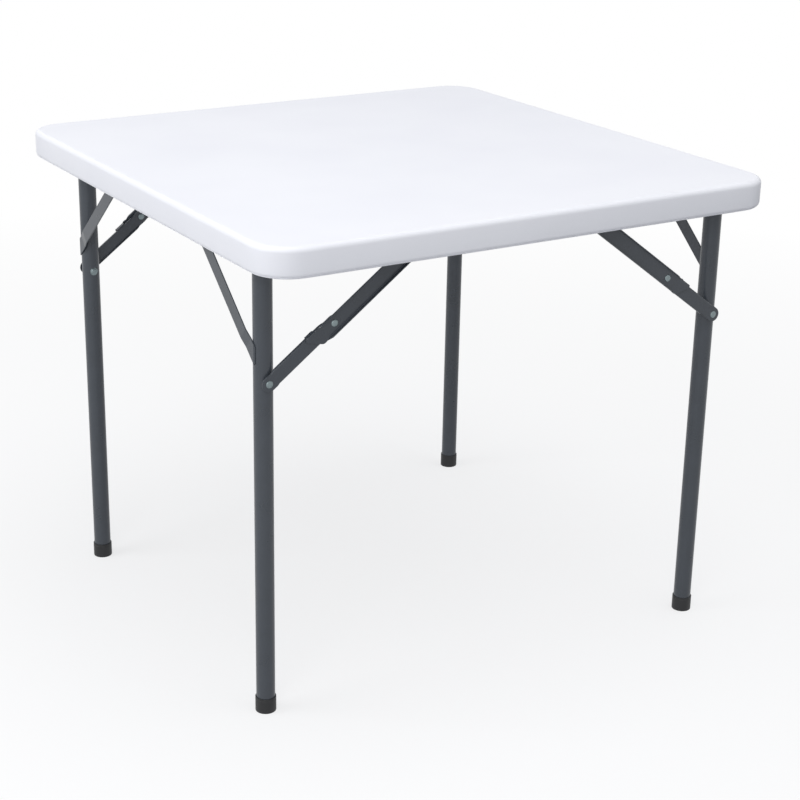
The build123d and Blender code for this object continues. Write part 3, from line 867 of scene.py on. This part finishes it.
def makeFootCap(end, side):
    look = footCap
    node = f"{end}_foot_cap_{side}"
    low, high = boxOf(node)
    middle = (low + high) / 2
    radius = (high.x - low.x) / 2
    top, edge, lip = high.z, look["edge"], look["lip"]
    bore = radius - look["wall"]
    soft = lip * look["lipShare"]
    outer = [(0.0, look["soleCentre"]), (0.0, radius - edge), (0.0, radius), (look["skirt"], radius)]
    outer += [(top - below, radius - deep) for below, deep in look["groove"]]
    outer.append((top, radius))
    line = softened(outer, [0, 0, edge, 0] + look["grooveRounds"] + [0], look["roundSteps"])
    profile = [(p[0], p[1]) for p in line[:-1]]
    profile += [(top - lip, radius), (top - soft, radius - soft), (top, radius - lip)]
    profile += [(top, bore + look["mouth"]), (top - look["mouthDeep"], bore), (look["floor"], bore)]
    bm = bmesh.new()
    turned(bm, axisPlace((middle.x, middle.y, 0), (0, 0, 1)), profile, look["segments"])
    makePiece(bm, f"{end}_foot_cap_moulded_{side}", f"{end}_leg_frame", "black_plastic", [node])


cornerBrace = {
    "drop": 145.0, "reach": 167.0, "width": 22.0, "sheet": 2.0, "past": 3.0, "edge": 0.55,
    "flat": 16.0, "joggle": 16.0, "lift": 16.2, "bend": 14.0, "bendSteps": 5,
    "acrossShares": (-1, -0.5, 0, 0.5, 1),
    "bead": 1.5, "beadRipple": 0.14, "beadSteps": 22, "beadOut": 0.1,
}


def makeCornerBrace(end, side):
    look = cornerBrace
    node = f"{end}_corner_brace_{side}"
    body = f"{end}_leg_frame"
    endSign = -1 if end == "narrow" else 1
    leg = centreOf(f"{end}_leg_{side}")
    pivotZ = centreOf(f"{end}_cross_tube").z
    crossRadius = crossTube["radius"]
    drop, flat, past = look["drop"], look["flat"], look["past"]
    length = math.hypot(drop, look["reach"])
    run, rise = look["reach"] / length, drop / length
    half, bend = look["sheet"] / 2, look["bend"]
    bent = flat + look["joggle"]
    line = [
        (0.0, legRadius + half), (flat, legRadius + half), (bent, look["lift"] + half),
        (length - bent, look["lift"] + half), (length - flat, crossRadius + half),
        (length, crossRadius + half),
    ]
    path = softened(line, [0, bend, bend, bend, bend, 0], look["bendSteps"])

    def place(along, wide, out):
        y = abs(leg.y) - along * run + wide * rise
        z = pivotZ - drop + along * rise + wide * run
        return Vector((leg.x + endSign * out, sideSigns[side] * y, z))

    rows = []
    for i, point in enumerate(path):
        row = []
        for share in look["acrossShares"]:
            wide = look["width"] / 2 * share
            along = point[0]
            # the ends are mitred, upright at the leg and level at the cross tube
            if i == 0:
                along = (wide * rise - past) / run
            if i == len(path) - 1:
                along = (drop + past - wide * run) / rise
            row.append(place(along, wide, point[1]))
        rows.append(row)
    bm = bmesh.new()
    loftRings(bm, rows, closed=False)
    piece = makePiece(bm, f"{end}_corner_brace_strip_{side}", body, "grey_steel", [node])
    thicken(piece, look["sheet"], look["edge"])
    # weld along each mitred end
    beads = bmesh.new()
    steps = look["beadSteps"]
    for row, out in ((rows[0], legRadius), (rows[-1], crossRadius)):
        first, last = row[0].copy(), row[-1].copy()
        for point in (first, last):
            point.x = leg.x + endSign * (out + look["beadOut"])
        seam = [first.lerp(last, i / steps) for i in range(1, steps)]
        weldBead(beads, seam, look["bead"], look["beadRipple"])
    makePiece(beads, f"{end}_corner_brace_welds_{side}", body, "grey_steel", [])


legRivet = {
    "shank": 8.0, "washerOut": 0.9, "washer": [(0, 5.0), (0, 6.2), (0.5, 6.4), (0.9, 6.2), (0.9, 5.0)],
    "pinIn": 20.0, "pin": [(0, 3.0), (8.0, 3.0)], "pinSegments": 32,
}


def makeLegRivets(end):
    look = legRivet
    node = f"{end}_leg_rivets"
    middle = centreOf(node)
    bm = bmesh.new()

    def at(y):
        return middle.x, y, middle.z

    for side, sign in sideSigns.items():
        inner = abs(centreOf(f"{end}_leg_{side}").y) - legRadius
        # a shallow washer carries the inner head on the round tube
        washerPlace = axisPlace(at(sign * (inner + look["washerOut"])), (0, -sign, 0))
        turned(bm, washerPlace, look["washer"], rivet["segments"])
        rivetHead(bm, at(sign * inner), -sign, look["shank"])
        pinPlace = axisPlace(at(sign * (inner + look["pinIn"])), (0, sign, 0))
        turned(bm, pinPlace, look["pin"], look["pinSegments"])
    makePiece(bm, f"{end}_leg_pivot_rivets", f"{end}_leg_frame", "zinc", [node])


for legEnd in ("narrow", "wide"):
    makeCrossTube(legEnd)
    makeLegRivets(legEnd)
    for legSide in sideSigns:
        makeLeg(legEnd, legSide)
        makeFootCap(legEnd, legSide)
        makeCornerBrace(legEnd, legSide)
print("leg frames ready")


# distances out from the leg's face: web is the middle of a link's flat, tip the end of its flange
channel = {
    "sheet": 1.5, "bend": 1.5, "bendSteps": 5, "edge": 0.22, "webInset": 0.6, "longest": 4.0,
    "upperHalf": 13.0, "upperWeb": 7.95, "upperTip": 12.7, "upperTurnSteps": 8,
    "lowerHalf": 11.2, "lowerWeb": 4.45, "lowerTip": 0.7, "lowerTurnSteps": 14,
    "alongEdge": 0.9, "fade": (8.0, 19.0), "tailFade": (14.0, 26.0),
    "stopReach": 49.0, "stopLength": 18.0, "stopEdge": 1.0, "stopTip": 1.0,
    "heelReach": 30.0, "heelShare": 0.4, "tailCorner": (2.4, 1.2), "tailRounds": [0, 6, 1.5, 1.5, 0],
}
bendReach = channel["bend"] + channel["sheet"] / 2
elbowRivet = {
    "insideFace": 3.4, "insideShank": 0.2, "outsideFace": 8.7, "outsideShank": 5.0,
    "collarFace": 5.5, "collarLength": 1.7,
}
lowerRivet = {"face": 5.2, "shank": 4.9}


def smoothStep(low, high, value):
    t = max(0.0, min(1.0, (value - low) / (high - low)))
    return t * t * (3 - 2 * t)


def densified(line):
    dense = []
    for a, b in zip(line, line[1:] + line[:1]):
        steps = max(1, math.ceil((b - a).length / channel["longest"]))
        dense += [a.lerp(b, i / steps) for i in range(steps)]
    return dense


def linkPlace(origin, slope, flank, sign):
    # along the brace, across it towards its upper edge, and out from the leg's face
    across = Vector((-slope.y, slope.x)) if slope.x >= 0 else Vector((slope.y, -slope.x))

    def place(point, out):
        x = origin.x + slope.x * point.x + across.x * point.y
        z = origin.y + slope.y * point.x + across.y * point.y
        return Vector((x, sign * (flank + out), z))

    return place


def pressedLink(bm, base, place, web, flangeAt):
    # base is the outline of the flat web, inside the bends; flangeAt gives how far each of its
    # points is bent over (-1 to 1) and how long the flange is there
    bend, steps = channel["bend"], channel["bendSteps"]
    rings = [[] for _ in range(steps + 3)]
    for i, point in enumerate(base):
        ahead = (base[(i + 1) % len(base)] - point).normalized()
        behind = (point - base[i - 1]).normalized()
        along = (ahead + behind).normalized()
        normal = Vector((along.y, -along.x))
        bent, flangeLength = flangeAt(point, normal)
        angle = min(1.0, abs(bent) * 2) * math.pi / 2
        way = 1 if bent >= 0 else -1
        rings[0].append(place(point - normal * channel["webInset"], web))
        rings[1].append(place(point, web))
        for step in range(1, steps + 1):
            part = angle * step / steps
            out, up = bend * math.sin(part), way * bend * (1 - math.cos(part))
            rings[1 + step].append(place(point + normal * out, web + up))
        # the first half of the fade turns the bend, and the second half lets the flange grow
        opened = bendReach * math.tan((math.pi / 2 - angle) / 2)
        run = opened + flangeLength * max(0.0, abs(bent) * 2 - 1)
        out = bend * math.sin(angle) + run * math.cos(angle)
        up = bend * (1 - math.cos(angle)) + run * math.sin(angle)
        rings[-1].append(place(point + normal * out, web + way * up))
    loftRings(bm, rings, capStart=True)


def makeLink(link, name, outline, place, web, flangeAt):
    bm = bmesh.new()
    pressedLink(bm, densified(outline), place, web, flangeAt)
    piece = makePiece(bm, name, link, "grey_steel", [link])
    thicken(piece, channel["sheet"], channel["edge"])


def makeUpperLink(corner, place, length):
    # its flanges face away from the leg, and a stop tab reaches over the lower link
    look = channel
    half = look["upperHalf"] - bendReach
    farTop = length + look["stopReach"] - bendReach
    farLow = length + look["heelReach"] - bendReach * look["heelShare"]
    tailAlong, tailAcross = look["tailCorner"]
    outline = softened([
        Vector((0, -half)), Vector((farLow, -half)), Vector((farTop, half - tailAcross)),
        Vector((farTop - tailAlong, half)), Vector((0, half)),
    ], look["tailRounds"])
    steps = look["upperTurnSteps"]
    for i in range(1, 2 * steps):
        angle = math.pi / 2 * (1 - i / steps)
        outline.append(Vector((-half * math.cos(angle), half * math.sin(angle))))
    stopFrom = length + look["stopReach"] - look["stopLength"]
    flangeUp = look["upperTip"] - look["upperWeb"] - look["bend"]
    stopDown = look["upperWeb"] - look["stopTip"] - look["bend"]
    fadeFrom, fadeTo = look["tailFade"]

    def flangeAt(point, normal):
        if abs(normal.y) <= look["alongEdge"]:
            return 0.0, 0.0
        if point.y > 0 and point.x > stopFrom:
            bent = -1.0 if point.x > stopFrom + look["stopEdge"] else 0.0
            return bent, stopDown
        left = 1 - smoothStep(length + fadeFrom, length + fadeTo, point.x)
        return smoothStep(*look["fade"], point.x) * left, flangeUp

    link = f"{corner}_upper_link"
    makeLink(link, f"{corner}_upper_channel", outline, place, look["upperWeb"], flangeAt)


def makeLowerLink(corner, place, length):
    # the same pressing turned round, its flanges towards the leg
    look = channel
    half = look["lowerHalf"] - bendReach
    steps = look["lowerTurnSteps"]
    turns = [math.pi * i / steps for i in range(steps + 1)]
    outline = [Vector((half * math.sin(a), -half * math.cos(a))) + Vector((length, 0)) for a in turns]
    outline += [Vector((-half * math.sin(a), half * math.cos(a))) for a in turns]
    flangeIn = look["lowerWeb"] - look["lowerTip"] - look["bend"]

    def flangeAt(point, normal):
        if abs(normal.y) < look["alongEdge"]:
            return 0.0, 0.0
        rise = smoothStep(*look["fade"], point.x) * smoothStep(*look["fade"], length - point.x)
        return -rise, flangeIn

    link = f"{corner}_lower_link"
    makeLink(link, f"{corner}_lower_channel", outline, place, look["lowerWeb"], flangeAt)


def makeBraceRivets(corner, elbow, lower, flank, sign):
    # an elbow rivet headed on both sides, with the collar that keeps the links apart, and the
    # outer part of the lower pivot
    look = elbowRivet

    def outFrom(pivot, out):
        return pivot.x, sign * (flank + out), pivot.z

    bm = bmesh.new()
    rivetHead(bm, outFrom(elbow, look["insideFace"]), -sign, look["insideShank"])
    rivetHead(bm, outFrom(elbow, look["outsideFace"]), sign, look["outsideShank"])
    addSpacer(bm, outFrom(elbow, look["collarFace"]), sign, look["collarLength"])
    elbowNode = f"{corner}_elbow_rivet"
    makePiece(bm, f"{elbowNode}_domed", f"{corner}_upper_link", "zinc", [elbowNode])
    bm = bmesh.new()
    rivetHead(bm, outFrom(lower, lowerRivet["face"]), sign, lowerRivet["shank"])
    lowerNode = f"{corner}_lower_rivet"
    makePiece(bm, f"{lowerNode}_domed", f"{corner}_lower_link", "zinc", [lowerNode])


def makeBrace(end, side):
    corner = f"{end}_{side}"
    sign = sideSigns[side]
    flank = legFace(end, side)
    upper = Vector(joints[f"{corner}_upper_pivot"]["pos_m"]) / mm
    elbow = Vector(joints[f"{corner}_elbow"]["pos_m"]) / mm
    lower = centreOf(f"{corner}_lower_rivet")
    start, middle, finish = (Vector((p.x, p.z)) for p in (upper, elbow, lower))
    slope = (finish - start).normalized()
    makeUpperLink(corner, linkPlace(start, slope, flank, sign), (middle - start).length)
    makeLowerLink(corner, linkPlace(middle, slope, flank, sign), (finish - middle).length)
    makeBraceRivets(corner, elbow, lower, flank, sign)


for braceEnd in ("narrow", "wide"):
    for braceSide in sideSigns:
        makeBrace(braceEnd, braceSide)
print("folding braces ready")


studio = {
    "paper": "#F4F5F7", "bounce": "#9C9EA2", "floorHalf": 12.0, "sky": "#F7F9FF", "ambient": 0.4,
    "paperRoughness": 0.9, "paperSpecular": 0.1, "fade": (0.5, 2.6), "fadeShares": (0.7, 1.0),
    "aim": (0, 0, 0.45),
    "key": {"energy": 43.0, "size": 2.4, "place": (-3.0, 0.6, 2.0)},
    "fill": {"energy": 36.0, "size": 2.2, "place": (-2.1, -2.55, 1.75)},
    "overhead": {"energy": 76.0, "size": 4.0, "place": (0.5, -0.9, 4.4)},
}
photoCamera = {
    "azimuth": -32.0, "elevation": 20.48, "roll": 1.13, "distance": 2.844,
    "target": (-0.0446, -0.1331, 0.3723), "lens": 81.07,
}


def seenDirectly(tree):
    # 1 for what the eye, a gloss or glass sees, 0 for light that only bounces
    path = addNode(tree, "ShaderNodeLightPath", {}).outputs
    seen = path["Is Camera Ray"]
    for ray in ("Is Glossy Ray", "Is Transmission Ray"):
        either = addNode(tree, "ShaderNodeMath", {"operation": "MAXIMUM"}, [(0, seen), (1, path[ray])])
        seen = either.outputs[0]
    return seen


def paperSeamless():
    material, tree, paper, at = startMaterial("paper_white_seamless")
    paper.inputs["Roughness"].default_value = studio["paperRoughness"]
    paper.inputs["Specular IOR Level"].default_value = studio["paperSpecular"]
    seen = seenDirectly(tree)
    # the paper gives back less light than it shows, so that the underside keeps its shade
    colour = addNode(tree, "ShaderNodeMix", {
        "data_type": "RGBA", 6: linear(studio["bounce"]), 7: linear(studio["paper"]),
    }, [(0, seen)])
    tree.links.new(colour.outputs[2], paper.inputs["Base Color"])
    # away from the table it fades into the white behind it
    far = addNode(tree, "ShaderNodeVectorMath", {"operation": "LENGTH"}, at)
    fade = addNode(tree, "ShaderNodeMapRange", {
        "From Min": studio["fade"][0], "From Max": studio["fade"][1],
        "To Min": studio["fadeShares"][0], "To Max": studio["fadeShares"][1],
    }, [("Value", far.outputs["Value"])])
    share = addNode(tree, "ShaderNodeMath", {"operation": "MULTIPLY"}, [(0, seen), (1, fade.outputs[0])])
    white = addNode(tree, "ShaderNodeEmission", {})
    lit = addNode(tree, "ShaderNodeMixShader", {}, [
        (0, share.outputs[0]), (1, paper.outputs[0]), (2, white.outputs[0]),
    ])
    # from below it lets the eye through, so that the underside of the table can be looked at
    side = addNode(tree, "ShaderNodeNewGeometry", {})
    clear = addNode(tree, "ShaderNodeBsdfTransparent", {})
    shown = addNode(tree, "ShaderNodeMixShader", {}, [
        (0, side.outputs["Backfacing"]), (1, lit.outputs[0]), (2, clear.outputs[0]),
    ])
    tree.links.new(shown.outputs[0], tree.nodes["Material Output"].inputs["Surface"])
    return material


def makeFloor():
    half = studio["floorHalf"]
    bm = bmesh.new()
    for x, y in cornerSigns:
        bm.verts.new((x * half, y * half, 0))
    bm.faces.new(bm.verts)
    floor = addMesh(bm, "studio_floor", paperSeamless())


def makeWorld():
    world = bpy.data.worlds.new("white_studio")
    bpy.context.scene.world = world
    world.use_nodes = True
    tree = world.node_tree
    ambient = tree.nodes["Background"]
    ambient.inputs["Color"].default_value = linear(studio["sky"])
    ambient.inputs["Strength"].default_value = studio["ambient"]
    white = addNode(tree, "ShaderNodeBackground", {"Color": (1, 1, 1, 1)})
    mixed = addNode(tree, "ShaderNodeMixShader", {}, [
        (0, seenDirectly(tree)), (1, ambient.outputs[0]), (2, white.outputs[0]),
    ])
    tree.links.new(mixed.outputs[0], tree.nodes["World Output"].inputs["Surface"])


def addSoftbox(name, look):
    light = bpy.data.lights.new(name, "AREA")
    light.shape = "DISK"
    light.size = look["size"]
    light.energy = look["energy"]
    lamp = addObject(name, light)
    place = Vector(look["place"])
    lamp.matrix_world = axisPlace(place, place - Vector(studio["aim"]))


def makeCamera():
    # where the photograph was taken from; the lens is longer, so that the table fills the picture
    look = photoCamera
    azimuth, elevation = math.radians(look["azimuth"]), math.radians(look["elevation"])
    back = Vector((
        math.sin(azimuth) * math.cos(elevation),
        -math.cos(azimuth) * math.cos(elevation),
        math.sin(elevation),
    ))
    spot = Vector(look["target"]) + back * look["distance"]
    roll = Matrix.Rotation(math.radians(look["roll"]), 4, "Z")
    data = bpy.data.cameras.new("photo_camera")
    data.lens = look["lens"]
    camera = addObject("photo_camera", data)
    camera.matrix_world = axisPlace(spot, back) @ roll
    bpy.context.scene.camera = camera


makeFloor()
makeWorld()
for lampName in ("key", "fill", "overhead"):
    addSoftbox(f"softbox_{lampName}", studio[lampName])
makeCamera()
bpy.context.scene.view_settings.view_transform = "Standard"
print("studio ready")

bpy.context.view_layer.update()
